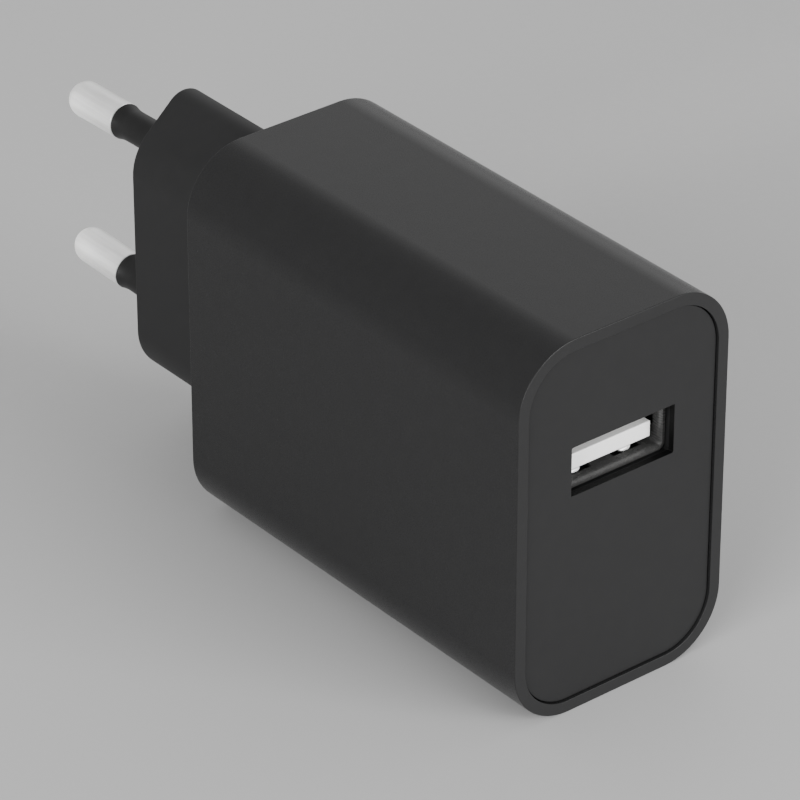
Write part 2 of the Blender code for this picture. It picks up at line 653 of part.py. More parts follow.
def make_main_board(material):
    """The circuit board, with a hole for each lead, tail, leg and spring."""
    through = BOARD_THICKNESS + OVERSHOOT
    middle_x = BOARD_FACE_X - BOARD_THICKNESS / 2
    size = (BOARD_THICKNESS, BOARD_REAR - BOARD_FRONT, BOARD_HEIGHT)
    board = box("main_board", size, (middle_x, (BOARD_FRONT + BOARD_REAR) / 2, MID_Z), material)
    hole = (through, LEAD_HOLE, LEAD_HOLE)
    tail_hole = (through, LEAD_HOLE, CONTACT_SHEET + 2 * GAP)
    spring_slot = (through, SPRING_SHEET + 2 * GAP, SPRING_WIDTH + 2 * GAP)
    leg_slot = (through, SHELL_LEG_WIDTH + 2 * GAP, SHELL_SHEET + 2 * GAP)
    leg_rise = (SHELL_HEIGHT - SHELL_SHEET) / 2
    places = [(hole, (middle_x, y, MID_Z + z)) for y, z in BOARD_HOLES]
    places += [(tail_hole, (middle_x, tail_y(number), CONTACT_ROOT_Z)) for number in (1, 2, 3, 4)]
    for side in (-1, 1):
        places.append((spring_slot, (middle_x, SPRING_FOOT_Y, MID_Z + side * SPRING_Z)))
        places += [(leg_slot, (middle_x, y, PORT_Z + side * leg_rise)) for y in SHELL_LEG_Y]
    cut(board, boxes("board_holes", places))


def make_insulation_sheet(material):
    """A film between the board's back and the housing wall."""
    thickness = 0.00035
    size = (thickness, 0.0360, 0.0270)
    centre = (-CAVITY_WIDTH / 2 + GAP / 2 + thickness / 2, -0.0185, MID_Z)
    box("insulation_sheet", size, centre, material)


def build():
    black = make_material("black_housing_plastic", (0.028, 0.028, 0.029), 0.42)
    dark = make_material("black_insert_plastic", (0.018, 0.018, 0.019), 0.50)
    nickel = make_material("nickel_plate", (0.72, 0.71, 0.69), 0.22, 1.0)
    steel = make_material("tinned_steel", (0.62, 0.62, 0.61), 0.30, 1.0)
    gold = make_material("gold_flash", (0.83, 0.63, 0.28), 0.25, 1.0)
    white = make_material("white_nylon", (0.80, 0.79, 0.76), 0.45)
    green = make_material("board_green", (0.02, 0.13, 0.05), 0.45)
    ferrite = make_material("ferrite", (0.05, 0.05, 0.055), 0.65)
    tape = make_material("yellow_tape", (0.78, 0.60, 0.10), 0.35)
    copper = make_material("enamelled_copper", (0.65, 0.28, 0.12), 0.30, 1.0)
    foil = make_material("capacitor_sleeve", (0.03, 0.05, 0.12), 0.30)
    epoxy = make_material("black_epoxy", (0.02, 0.02, 0.02), 0.55)
    ceramic = make_material("blue_ceramic", (0.06, 0.20, 0.50), 0.40)
    resin = make_material("resistor_coat", (0.20, 0.33, 0.28), 0.45)
    paper = make_material("insulation_film", (0.75, 0.72, 0.60), 0.60)

    make_housing(black)
    make_face_plate(black)
    make_plug_block(dark)
    for word, side in (("upper", 1), ("lower", -1)):
        make_pin(word, side, nickel)
        make_sleeve(word, side, dark)
        make_contact_spring(word, side, copper)
    make_usb_shell(steel)
    make_usb_insulator(white)
    for number, offset in enumerate(CONTACT_OFFSETS, start=1):
        make_usb_contact(number, PORT_X + offset, gold)
        make_usb_tail(number, PORT_X + offset, gold)
    make_transformer(ferrite, epoxy, tape)
    make_capacitor("bulk_capacitor_1", -0.0025, 0.0040, 0.0034, 0.0130, 0.0030, foil)
    make_capacitor("bulk_capacitor_2", -0.0150, -0.0122, 0.0040, 0.0140, 0.0035, foil)
    make_capacitor("output_capacitor_1", -0.0335, -0.0020, 0.0031, 0.0110, 0.0025, foil)
    make_capacitor("output_capacitor_2", -0.0335, -0.0092, 0.0031, 0.0110, 0.0025, foil)
    make_choke(ferrite, copper)
    make_fuse_resistor(resin)
    make_safety_capacitor(ceramic)
    make_bridge_rectifier(epoxy)
    make_surface_part("controller_chip", -0.0250, -0.0020, (0.0014, 0.0049, 0.0039), 4, epoxy)
    make_surface_part("optocoupler", -0.0240, 0.0120, (0.0014, 0.0044, 0.0036), 2, epoxy)
    make_surface_part("output_rectifier", -0.0340, 0.0120, (0.0014, 0.0046, 0.0036), 1, epoxy)
    make_surface_part("chip_capacitor_1", -0.0090, -0.0060, (0.0011, 0.0032, 0.0016), 0, ceramic)
    make_surface_part("chip_capacitor_2", -0.0090, 0.0100, (0.0011, 0.0032, 0.0016), 0, ceramic)
    make_insulation_sheet(paper)
    make_main_board(green)


build()
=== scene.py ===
"""Looks for the USB wall charger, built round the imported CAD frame. Metres, +X right, USB face at -Y."""

import json
import math

import bmesh
import bpy
from mathutils import Matrix, Vector


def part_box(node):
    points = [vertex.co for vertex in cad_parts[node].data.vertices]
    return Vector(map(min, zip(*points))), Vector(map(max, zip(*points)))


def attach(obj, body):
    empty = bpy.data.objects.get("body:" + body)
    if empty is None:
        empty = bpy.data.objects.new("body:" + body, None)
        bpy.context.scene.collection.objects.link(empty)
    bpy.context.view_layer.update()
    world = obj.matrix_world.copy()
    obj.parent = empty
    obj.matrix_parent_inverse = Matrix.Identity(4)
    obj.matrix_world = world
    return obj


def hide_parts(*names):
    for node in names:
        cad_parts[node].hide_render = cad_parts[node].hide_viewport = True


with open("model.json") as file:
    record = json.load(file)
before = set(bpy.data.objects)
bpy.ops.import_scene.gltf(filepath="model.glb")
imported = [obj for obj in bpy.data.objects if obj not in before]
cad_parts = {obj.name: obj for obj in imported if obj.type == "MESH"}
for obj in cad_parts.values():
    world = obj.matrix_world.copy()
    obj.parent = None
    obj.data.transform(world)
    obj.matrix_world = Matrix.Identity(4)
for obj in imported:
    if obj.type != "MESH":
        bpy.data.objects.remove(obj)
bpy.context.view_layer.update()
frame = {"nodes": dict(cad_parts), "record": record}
MM = 0.001
CHARGER = "charger"

# Places read from the frame.
BODY_LOW, BODY_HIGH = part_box("housing")
PLATE_LOW, PLATE_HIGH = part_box("face_plate")
BLOCK_LOW, BLOCK_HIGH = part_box("plug_block")
SHELL_LOW, SHELL_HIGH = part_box("usb_shell")
NYLON_LOW, NYLON_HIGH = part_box("usb_insulator")
PORT_BOX = frame["record"]["physics"]["openings"][0]["box_m"]
MID_Z = (BODY_LOW.z + BODY_HIGH.z) / 2
HALF_WIDTH = (BODY_HIGH.x - BODY_LOW.x) / 2
HALF_HEIGHT = (BODY_HIGH.z - BODY_LOW.z) / 2
FRONT_Y = BODY_LOW.y
REAR_Y = BODY_HIGH.y
BOSS_Y = BLOCK_HIGH.y
PORT_X = (PORT_BOX[0][0] + PORT_BOX[1][0]) / 2
PORT_Z = (PORT_BOX[0][2] + PORT_BOX[1][2]) / 2
PORT_MIDDLE = (PORT_X, PORT_Z)
PLATE_Y = PLATE_LOW.y

# Shapes that the frame's boxes don't give, as in the CAD.
CORNER = 6.9 * MM
WALL = 1.9 * MM
REAR_WALL = 2.0 * MM
RIM = 1.3 * MM
PLATE_GAP = 0.1 * MM
PLATE_THICKNESS = 1.5 * MM
SKIRT_WALL = 1.0 * MM
PORT_HALF = (6.45 * MM, 2.7 * MM)
PORT_LAND = 0.7 * MM
BOSS_HALF_WIDTH = 6.85 * MM
BOSS_FLAT = 11.8 * MM
BOSS_APEX = 18.0 * MM
BOSS_TIP_RADIUS = 2.6 * MM
BOSS_SIDE_RADIUS = 5.9 * MM
PIN_LENGTH = 19.3 * MM
PIN_SPACING = 18.6 * MM
PIN_TIP_SPACING = 17.6 * MM
PIN_RADIUS = 2.0 * MM
SLEEVE_LENGTH = 10.5 * MM

ALONG_Y = Vector((0.0, 1.0, 0.0))
SHARP_ANGLE = math.radians(30.0)


# ---------------------------------------------------------------- mesh helpers

def rounded_rect(half_width, half_height, radius, y, middle=(0.0, MID_Z), steps=16):
    """A ring in the XZ plane with round corners, anticlockwise seen from -Y."""
    ring = []
    for quarter, (side_x, side_z) in enumerate(((1, 1), (-1, 1), (-1, -1), (1, -1))):
        for step in range(steps + 1):
            angle = math.radians(90 * (quarter + step / steps))
            x = side_x * (half_width - radius) + radius * math.cos(angle)
            z = side_z * (half_height - radius) + radius * math.sin(angle)
            ring.append(Vector((middle[0] + x, y, middle[1] + z)))
    return ring


def body_ring(inset, y):
    return rounded_rect(HALF_WIDTH - inset, HALF_HEIGHT - inset, CORNER - inset, y)


def fillet_corner(before, corner, after, radius, steps=10):
    """Points of the arc that rounds one corner of an outline."""
    to_before = (before - corner).normalized()
    to_after = (after - corner).normalized()
    half_angle = to_before.angle(to_after) / 2
    reach = radius / math.tan(half_angle)
    centre = corner + (to_before + to_after).normalized() * radius / math.sin(half_angle)
    start = (corner + to_before * reach - centre).normalized()
    end = (corner + to_after * reach - centre).normalized()
    return [centre + start.slerp(end, step / steps) * radius for step in range(steps + 1)]


def hexagon_ring(grow, y):
    """The Europlug outline moved outwards by grow, with rounded sides and tips."""
    slope = math.atan2(BOSS_APEX - BOSS_FLAT, BOSS_HALF_WIDTH)
    half = BOSS_HALF_WIDTH + grow
    flat = BOSS_FLAT + grow * math.tan(math.pi / 4 - slope / 2)
    apex = BOSS_APEX + grow / math.cos(slope)
    points = [(half, flat), (0.0, apex), (-half, flat), (-half, -flat), (0.0, -apex), (half, -flat)]
    corners = [Vector((x, y, MID_Z + z)) for x, z in points]
    ring = []
    for index, corner in enumerate(corners):
        at_tip = abs(corner.x) < half / 2
        radius = (BOSS_TIP_RADIUS if at_tip else BOSS_SIDE_RADIUS) + grow
        ring += fillet_corner(corners[index - 1], corner, corners[(index + 1) % 6], radius)
    return ring


def circle(centre, axis, radius):
    """A ring about an axis, starting from the same side each time."""
    turn = axis.to_track_quat("Z", "Y").to_matrix()
    steps = 48
    ring = []
    for step in range(steps):
        angle = 2 * math.pi * step / steps
        ring.append(centre + turn @ Vector((radius * math.cos(angle), radius * math.sin(angle), 0.0)))
    return ring


def add_loop(bm, ring):
    return [bm.verts.new(point) for point in ring]


def bridge(bm, loop_a, loop_b):
    count = len(loop_a)
    for index in range(count):
        following = (index + 1) % count
        bm.faces.new((loop_a[index], loop_a[following], loop_b[following], loop_b[index]))


def skin(bm, rings, closed=False):
    """Faces from each ring to the next, and back to the first if closed. Returns the vertex loops."""
    loops = [add_loop(bm, ring) for ring in rings]
    for loop_a, loop_b in zip(loops, loops[1:]):
        bridge(bm, loop_a, loop_b)
    if closed:
        bridge(bm, loops[-1], loops[0])
    return loops


def fan(bm, loop, centre):
    tip = bm.verts.new(centre)
    for index, vert in enumerate(loop):
        bm.faces.new((vert, loop[(index + 1) % len(loop)], tip))


def fill_flat(bm, loops, normal):
    """A flat face bounded by the first loop, with the other loops as holes."""
    edges = []
    for loop in loops:
        for index, vert in enumerate(loop):
            edges.append(bm.edges.get((vert, loop[(index + 1) % len(loop)])))
    bmesh.ops.triangle_fill(bm, use_beauty=True, edges=edges, normal=normal)


def arc(inset, y, radius, start, end, steps=5):
    """(inset, y) points of a fillet round a centre, between two angles in degrees."""
    points = []
    for step in range(steps + 1):
        angle = math.radians(start + (end - start) * step / steps)
        points.append((inset + radius * math.cos(angle), y + radius * math.sin(angle)))
    return points


def add_box(bm, low, high):
    made = bmesh.ops.create_cube(bm, size=1.0)
    size = Vector(high) - Vector(low)
    bmesh.ops.scale(bm, vec=size, verts=made["verts"])
    bmesh.ops.translate(bm, vec=(Vector(high) + Vector(low)) / 2, verts=made["verts"])


def shade(mesh):
    """Flat where it is flat and smooth where it is round."""
    mesh.shade_smooth()
    mesh.set_sharp_from_angle(angle=SHARP_ANGLE)


def finish_mesh(name, bm, material):
    """Makes a shaded object from a bmesh."""
    bmesh.ops.remove_doubles(bm, verts=bm.verts, dist=1e-7)
    bmesh.ops.recalc_face_normals(bm, faces=bm.faces)
    mesh = bpy.data.meshes.new(name)
    bm.to_mesh(mesh)
    bm.free()
    shade(mesh)
    piece = bpy.data.objects.new(name, mesh)
    bpy.context.scene.collection.objects.link(piece)
    mesh.materials.append(material)
    return piece


def weight_normals(piece):
    modifier = piece.modifiers.new("FlatFaces", "WEIGHTED_NORMAL")
    modifier.mode = "FACE_AREA"
    modifier.keep_sharp = True


def carve(piece, tool_bm, operation="DIFFERENCE"):
    """Applies a Boolean with a tool made of closed solids, and removes the tool."""
    mesh = bpy.data.meshes.new("tool")
    bmesh.ops.recalc_face_normals(tool_bm, faces=tool_bm.faces)
    tool_bm.to_mesh(mesh)
    tool_bm.free()
    tool = bpy.data.objects.new("tool", mesh)
    bpy.context.scene.collection.objects.link(tool)
    modifier = piece.modifiers.new("Carve", "BOOLEAN")
    modifier.operation = operation
    modifier.object = tool
    bpy.context.view_layer.update()
    graph = bpy.context.evaluated_depsgraph_get()
    carved = bpy.data.meshes.new_from_object(piece.evaluated_get(graph))
    piece.modifiers.remove(modifier)
    piece.data = carved
    bpy.data.objects.remove(tool, do_unlink=True)


def round_edges(piece, width, segments=3, angle=40.0):
    modifier = piece.modifiers.new("Edges", "BEVEL")
    modifier.width = width
    modifier.segments = segments
    modifier.limit_method = "ANGLE"
    modifier.angle_limit = math.radians(angle)
    weight_normals(piece)


def give_faces(piece, material, test):
    """Gives a second material to the faces whose middle passes a test."""
    piece.data.materials.append(material)
    slot = len(piece.data.materials) - 1
    for face in piece.data.polygons:
        if test(face.center):
            face.material_index = slot


def stand_for(piece, slot, *nodes, body=CHARGER):
    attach(piece, body)
    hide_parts(*nodes)


# ---------------------------------------------------------------- materials

class Recipe:
    """A Principled material and the few nodes that all the recipes share."""

    def __init__(self, name, metallic=0.0, specular=0.5):
        self.material = bpy.data.materials.new(name)
        self.material.use_nodes = True
        self.tree = self.material.node_tree
        self.shader = self.tree.nodes["Principled BSDF"]
        self.shader.inputs["Metallic"].default_value = metallic
        self.shader.inputs["Specular IOR Level"].default_value = specular
        self.place = self.add("ShaderNodeTexCoord").outputs["Object"]

    def add(self, kind, **settings):
        node = self.tree.nodes.new(kind)
        for key, value in settings.items():
            setattr(node, key, value)
        return node

    def link(self, output, target):
        self.tree.links.new(output, target)

    def stretched(self, scale):
        mapping = self.add("ShaderNodeMapping")
        mapping.inputs["Scale"].default_value = scale
        self.link(self.place, mapping.inputs["Vector"])
        return mapping.outputs["Vector"]

    def noise(self, scale, detail=2.0, roughness=0.5, place=None):
        node = self.add("ShaderNodeTexNoise")
        node.inputs["Scale"].default_value = scale
        node.inputs["Detail"].default_value = detail
        node.inputs["Roughness"].default_value = roughness
        self.link(place or self.place, node.inputs["Vector"])
        return node.outputs["Fac"]

    def spread(self, value, low, high, from_low=0.3, from_high=0.7):
        node = self.add("ShaderNodeMapRange")
        node.inputs["From Min"].default_value = from_low
        node.inputs["From Max"].default_value = from_high
        node.inputs["To Min"].default_value = low
        node.inputs["To Max"].default_value = high
        self.link(value, node.inputs["Value"])
        return node.outputs["Result"]

    def mix(self, factor, colour_a, colour_b):
        """Either colour may be a node's output."""
        node = self.add("ShaderNodeMix", data_type="RGBA")
        self.link(factor, node.inputs["Factor"])
        for socket, colour in (("A", colour_a), ("B", colour_b)):
            target = [s for s in node.inputs if s.name == socket and s.type == "RGBA"][0]
            if isinstance(colour, tuple):
                target.default_value = (*colour, 1.0)
            else:
                self.link(colour, target)
        return [s for s in node.outputs if s.type == "RGBA"][0]

    def colour(self, output):
        self.link(output, self.shader.inputs["Base Color"])

    def roughness(self, output):
        self.link(output, self.shader.inputs["Roughness"])

    def total(self, value_a, value_b, operation="ADD"):
        node = self.add("ShaderNodeMath", operation=operation)
        self.link(value_a, node.inputs[0])
        self.link(value_b, node.inputs[1])
        return node.outputs[0]

    def bump(self, height, distance):
        node = self.add("ShaderNodeBump")
        node.inputs["Strength"].default_value = 1.0
        node.inputs["Distance"].default_value = distance
        self.link(height, node.inputs["Height"])
        self.link(node.outputs["Normal"], self.shader.inputs["Normal"])


def grey(level):
    return (level, level, level)


def black(level):
    """A dark grey, a touch bluer than neutral."""
    return (level, level, level + 0.0003)


def moulded_plastic(name, dark, light, rough, grain=9000.0, depth=0.004, specular=0.5):
    """Injection-moulded plastic: fine spark grain, cloudy gloss and a few paler specks."""
    r = Recipe(name, specular=specular)
    grain_height = r.noise(grain, 2.0, 0.6)
    clouds = r.noise(90.0, 3.0, 0.55)
    tint = r.mix(r.spread(r.noise(700.0, 3.0), 0.0, 1.0), dark, light)
    specks = r.spread(r.noise(5200.0, 1.0), 0.0, 0.5, 0.74, 0.80)
    speck_gain = 1.8
    r.colour(r.mix(specks, tint, tuple(channel * speck_gain for channel in light)))
    fine = r.spread(grain_height, -0.025, 0.025)
    broad = r.spread(clouds, rough - 0.012, rough + 0.012)
    r.roughness(r.total(fine, broad))
    r.bump(grain_height, depth * MM)
    return r.material


def plated_metal(name, dark, light, rough, lines=(3300.0, 120.0, 3300.0), depth=0.0008, metallic=1.0):
    """Plated metal with soft tarnish and fine lines, which run along the axis with the smallest scale."""
    r = Recipe(name, metallic=metallic)
    marks = r.noise(1.0, 4.0, 0.6, place=r.stretched(lines))
    tarnish = r.noise(420.0, 3.0, 0.55)
    shade = r.total(r.spread(marks, 0.25, 1.0), r.spread(tarnish, 0.7, 1.0), "MULTIPLY")
    r.colour(r.mix(shade, dark, light))
    r.roughness(r.total(r.spread(marks, -0.05, 0.05), r.spread(tarnish, rough + 0.04, rough - 0.03)))
    r.bump(marks, depth * MM)
    return r.material


def plain_floor():
    r = Recipe("pale_floor")
    r.colour(r.mix(r.spread(r.noise(6.0, 3.0), 0.0, 1.0), grey(0.45), grey(0.48)))
    r.roughness(r.spread(r.noise(900.0, 2.0), 0.55, 0.65))
    return r.material


CASE_SPECULAR = 0.17
HOUSING_BLACK = moulded_plastic("housing_plastic", black(0.0134), black(0.0146), 0.28, specular=CASE_SPECULAR)
# Painted light: a lighter, glossier copy of the housing plastic for the housing's front rim, standing in for
# the extra light its front-facing faces catch.
RIM_PAINTED_LIGHT = moulded_plastic("rim_plastic_painted_light", black(0.0158), black(0.0168), 0.30, specular=0.20)
PLATE_BLACK = moulded_plastic("plate_plastic", black(0.0146), black(0.0156), 0.34, specular=CASE_SPECULAR)
# Painted shade: a near-black, dull copy of the plate plastic for the walls inside the USB opening, standing
# in for the shade there.
PORT_PAINTED_SHADE = moulded_plastic("port_plastic_painted_shade", grey(0.0025), grey(0.004), 0.55, specular=0.06)
PLUG_BLACK = moulded_plastic("plug_plastic", black(0.0144), black(0.0156), 0.50, specular=CASE_SPECULAR)
SLEEVE_BLACK = moulded_plastic("sleeve_plastic", grey(0.0100), grey(0.0120), 0.42, specular=CASE_SPECULAR)
WHITE = moulded_plastic("white_nylon", (0.94, 0.94, 0.93), (0.96, 0.96, 0.95), 0.42, 7000.0, 0.002)
NICKEL = plated_metal("nickel_plate", (0.80, 0.795, 0.785), (1.0, 0.998, 0.99), 0.36, metallic=0.75)
# Painted shade: the tin is given a near-black colour, standing in for the shade inside the socket.
SHADED_TIN = plated_metal("tinned_sheet_painted_shade", (0.060, 0.060, 0.0595), (0.072, 0.072, 0.071), 0.27,
                   (900.0, 900.0, 5000.0), 0.0004, metallic=0.3)
# Painted highlight: a near-white copy of the tin for the spring tabs, standing in for the light they catch.
TIN_PAINTED_HIGHLIGHT = plated_metal("tin_painted_highlight", (0.86, 0.86, 0.855), (0.94, 0.94, 0.935), 0.30,
                          (5000.0, 600.0, 900.0), metallic=0.5)
GOLD = plated_metal("gold_flash", (0.80, 0.58, 0.24), (0.90, 0.70, 0.33), 0.24, (5000.0, 400.0, 400.0))
COPPER = plated_metal("copper_strip", (0.68, 0.34, 0.18), (0.80, 0.45, 0.26), 0.30, (600.0, 600.0, 5000.0))


# ---------------------------------------------------------------- outer pieces

def make_housing():
    """The sleeve with its rim, plate seat, cavity and rear wall."""
    seat_y = PLATE_Y + PLATE_THICKNESS
    inner_y = REAR_Y - REAR_WALL
    outer_edge, seat_edge, rear_edge = 0.09 * MM, 0.05 * MM, 0.12 * MM
    profile = [(WALL, inner_y), (WALL, seat_y), (RIM, seat_y)]
    profile += arc(RIM - seat_edge, FRONT_Y + seat_edge, seat_edge, 0, -90)
    profile += arc(outer_edge, FRONT_Y + outer_edge, outer_edge, -90, -180)
    profile += arc(rear_edge, REAR_Y - rear_edge, rear_edge, 180, 90)
    bm = bmesh.new()
    loops = skin(bm, [body_ring(inset, y) for inset, y in profile])
    hole_gap = 0.08 * MM
    hole = skin(bm, [hexagon_ring(hole_gap, REAR_Y), hexagon_ring(hole_gap, inner_y)])
    fill_flat(bm, [loops[-1], hole[0]], ALONG_Y)
    fill_flat(bm, [loops[0], hole[1]], -ALONG_Y)
    piece = finish_mesh("housing_shell", bm, HOUSING_BLACK)
    # Painted light: the front-facing rim faces get the lighter copy of the housing plastic.
    give_faces(piece, RIM_PAINTED_LIGHT, lambda spot: spot.y < FRONT_Y + outer_edge / 2)
    weight_normals(piece)
    stand_for(piece, "housing", "housing")


def make_face_plate():
    """The recessed plate, with its skirt and the collar round the USB socket behind it."""
    edge, port_edge = 0.07 * MM, 0.05 * MM
    port_corner, collar_corner = 0.15 * MM, 0.3 * MM
    land_y = PLATE_Y + PORT_LAND
    back_y = PLATE_Y + PLATE_THICKNESS
    skirt_y = PLATE_HIGH.y
    plate_inset = RIM + PLATE_GAP
    skirt_inset = WALL + 0.3 * MM
    collar_w, collar_h = 6.85 * MM, 3.15 * MM
    collar_wall = 0.9 * MM

    def port_ring(grow, y):
        return rounded_rect(PORT_HALF[0] + grow, PORT_HALF[1] + grow, port_corner + grow, y, PORT_MIDDLE)

    def collar_ring(grow, y):
        return rounded_rect(collar_w + grow, collar_h + grow, collar_corner + grow, y, PORT_MIDDLE)

    rings = [port_ring(grow, y) for grow, y in arc(port_edge, PLATE_Y + port_edge, port_edge, 180, 270, 3)]
    rings += [body_ring(plate_inset + edge - out, y) for out, y in arc(0.0, PLATE_Y + edge, edge, -90, 0, 4)]
    rings += [body_ring(plate_inset, back_y), body_ring(skirt_inset, back_y)]
    rings += [body_ring(skirt_inset, skirt_y), body_ring(skirt_inset + SKIRT_WALL, skirt_y)]
    rings += [body_ring(skirt_inset + SKIRT_WALL, back_y), collar_ring(collar_wall, back_y)]
    rings += [collar_ring(collar_wall, skirt_y), collar_ring(0.0, skirt_y)]
    rings += [collar_ring(0.0, land_y), port_ring(0.0, land_y)]
    bm = bmesh.new()
    skin(bm, rings, closed=True)
    piece = finish_mesh("front_plate", bm, PLATE_BLACK)
    reach_x, reach_z = PORT_HALF[0] + PLATE_GAP, PORT_HALF[1] + PLATE_GAP
    # Painted shade: the walls inside the USB opening get the near-black plastic.
    give_faces(piece, PORT_PAINTED_SHADE, lambda spot: spot.y > PLATE_Y + port_edge
               and abs(spot.x - PORT_X) < reach_x and abs(spot.z - PORT_Z) < reach_z)
    weight_normals(piece)
    stand_for(piece, "face_plate", "face_plate")


def pin_axis(side):
    """Where a pin leaves the boss, and its direction."""
    lean = math.asin((PIN_SPACING - PIN_TIP_SPACING) / 2 / PIN_LENGTH)
    start = Vector((0.0, BOSS_Y, MID_Z + side * PIN_SPACING / 2))
    return start, Vector((0.0, math.cos(lean), -side * math.sin(lean)))


def make_plug_block():
    """The Europlug boss, hollow from inside, with a flange and two pin seats."""
    wall = 1.9 * MM
    edge = 0.16 * MM
    flange_low, flange_high = BLOCK_LOW.y, BLOCK_LOW.y + 1.6 * MM
    flange_lip = 1.5 * MM
    floor_y = BOSS_Y - 5.0 * MM
    rings = [hexagon_ring(-wall, floor_y), hexagon_ring(-wall, flange_low)]
    rings += [hexagon_ring(flange_lip, flange_low), hexagon_ring(flange_lip, flange_high)]
    rings += [hexagon_ring(0.0, flange_high)]
    rings += [hexagon_ring(inset, y) for inset, y in arc(-edge, BOSS_Y - edge, edge, 0, 90)]
    bm = bmesh.new()
    loops = skin(bm, rings)
    mouths, floors = [], []
    for side in (1, -1):
        start, direction = pin_axis(side)
        seat, bore, lead_in, seat_depth = 1.83 * MM, 1.55 * MM, 0.15 * MM, 2.1 * MM
        steps = [(seat + lead_in, 0.0), (seat, -lead_in), (seat, -seat_depth)]
        steps += [(bore, -seat_depth), (bore, floor_y - BOSS_Y)]
        rings = []
        for radius, depth in steps:
            centre = start + direction * depth
            rings.append(circle(Vector((0.0, BOSS_Y + depth, centre.z)), ALONG_Y, radius))
        hole = skin(bm, rings)
        mouths.append(hole[0])
        floors.append(hole[-1])
    fill_flat(bm, [loops[-1]] + mouths, ALONG_Y)
    fill_flat(bm, [loops[0]] + floors, -ALONG_Y)
    piece = finish_mesh("plug_boss", bm, PLUG_BLACK)
    weight_normals(piece)
    stand_for(piece, "plug_block", "plug_block")


def turned_piece(name, side, profile, material, closed=False):
    """Turns (radius, distance along the pin) points round a pin's axis."""
    start, direction = pin_axis(side)
    bm = bmesh.new()
    rings = [circle(start + direction * reach, direction, radius) for radius, reach in profile]
    loops = skin(bm, rings, closed)
    if not closed:
        fan(bm, loops[0], start + direction * profile[0][1])
        fan(bm, loops[-1], start + direction * profile[-1][1])
    piece = finish_mesh(name, bm, material)
    weight_normals(piece)
    return piece


def make_pin(word, side):
    """A round-tipped pin whose shank is thinner under the sleeve and headed inside the boss."""
    tip = PIN_LENGTH - PIN_RADIUS
    shoulder = SLEEVE_LENGTH + 0.05 * MM
    edge = 0.10 * MM
    profile = []
    for step in range(1, 15):
        angle = math.radians(90 * step / 14)
        profile.append((PIN_RADIUS * math.sin(angle), tip + PIN_RADIUS * math.cos(angle)))
    plain = 2.0 * MM
    for reach in (tip - plain, shoulder + plain, shoulder + edge):
        profile.append((PIN_RADIUS, reach))
    profile += [(PIN_RADIUS - edge * 0.3, shoulder + edge * 0.3), (PIN_RADIUS - edge, shoulder)]
    shank, head, tail = 1.4 * MM, 2.2 * MM, 1.0 * MM
    head_start, head_end, tail_end = -5.1 * MM, -6.6 * MM, -10.6 * MM
    profile += [(shank, shoulder), (shank, head_start), (head - edge, head_start), (head, head_start - edge)]
    profile += [(head, head_end + edge), (head - edge, head_end), (tail, head_end)]
    profile += [(tail, tail_end + edge), (tail - edge, tail_end)]
    piece = turned_piece("mains_pin_" + word, side, profile, NICKEL)
    stand_for(piece, "pins", "pin_" + word)


def make_sleeve(word, side):
    """The insulating sleeve, flush with the metal at its end and slimmer towards the boss."""
    end, seat = SLEEVE_LENGTH, -1.9 * MM
    lip, slim, bore = 1.97 * MM, 1.74 * MM, 1.5 * MM
    taper = 1.6 * MM
    edge = 0.05 * MM
    profile = [(bore, end), (lip - edge, end), (lip, end - edge)]
    for step in range(1, 9):
        share = step / 8
        profile.append((lip + (slim - lip) * share * (2 - share), end - edge - taper * share))
    profile += [(slim, 0.0), (slim, seat), (bore, seat)]
    piece = turned_piece("sleeve_" + word, side, profile, SLEEVE_BLACK, closed=True)
    stand_for(piece, "pin_sleeves", "pin_sleeve_" + word)


# ---------------------------------------------------------------- USB socket

SHEET = 0.3 * MM
SHELL_HALF = (SHELL_HIGH.x - PORT_X, (SHELL_HIGH.z - SHELL_LOW.z) / 2)
TAB_X = 3.2 * MM
TONGUE_HALF = 5.55 * MM
TONGUE_TOP = 0.1 * MM
TONGUE_THICKNESS = 1.75 * MM
CONTACT_BOXES = [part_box("usb_contact_%d" % number) for number in (1, 2, 3, 4)]


def shell_ring(grow, y):
    corner = 0.6 * MM + grow
    return rounded_rect(SHELL_HALF[0] + grow, SHELL_HALF[1] + grow, corner, y, PORT_MIDDLE, 8)


def bent_strip(bm, path, width, thickness, place, tip=0.0):
    """A strip of sheet along a path of (along, up) points; place turns (across, along, up) into a point.

    Its last stretch, as long as tip, narrows to a rounded end.
    """
    normals = []
    for index in range(len(path)):
        before = Vector(path[max(index - 1, 0)])
        after = Vector(path[min(index + 1, len(path) - 1)])
        direction = (after - before).normalized()
        normals.append(Vector((-direction.y, direction.x)))
    loops = []
    edge = min(thickness, width) * 0.2
    end = Vector(path[-1])
    for point, normal in zip(path, normals):
        near_end = max(1.0 - (end - Vector(point)).length / tip, 0.0) if tip else 0.0
        half_width = width / 2 * (0.45 + 0.55 * math.sqrt(1.0 - near_end ** 2))
        ring = []
        for across, out in ((-1, -1), (1, -1), (1, 1), (-1, 1)):
            for inward_across, inward_out in ((edge, 0.0), (0.0, edge)):
                if across * out > 0:
                    inward_across, inward_out = inward_out, inward_across
                a = across * (half_width - inward_across)
                offset = normal * out * (thickness / 2 - inward_out)
                spot = Vector(point) + offset
                ring.append(place(a, spot.x, spot.y))
        loops.append(ring)
    made = skin(bm, loops)
    bm.faces.new(made[0])
    bm.faces.new(made[-1])


def tab_path(slot_y, root_y, rise):
    """A tab's middle line as (y, inward) points: root at the rear, hump, and a curled-out free end."""
    free_y = slot_y + 0.40 * MM
    hump_y = free_y + 0.9 * MM
    curl = -0.08 * MM
    root_overlap = 0.3 * MM
    path = [(root_y + root_overlap, 0.0)]
    for step in range(11):
        share = step / 10
        path.append((root_y + (hump_y - root_y) * share, rise * math.sin(math.pi / 2 * share) ** 2))
    for step in range(1, 9):
        share = step / 8
        fall = 1 - math.cos(math.pi / 2 * share)
        path.append((hump_y + (free_y - hump_y) * share, rise + (curl - rise) * fall))
    return path


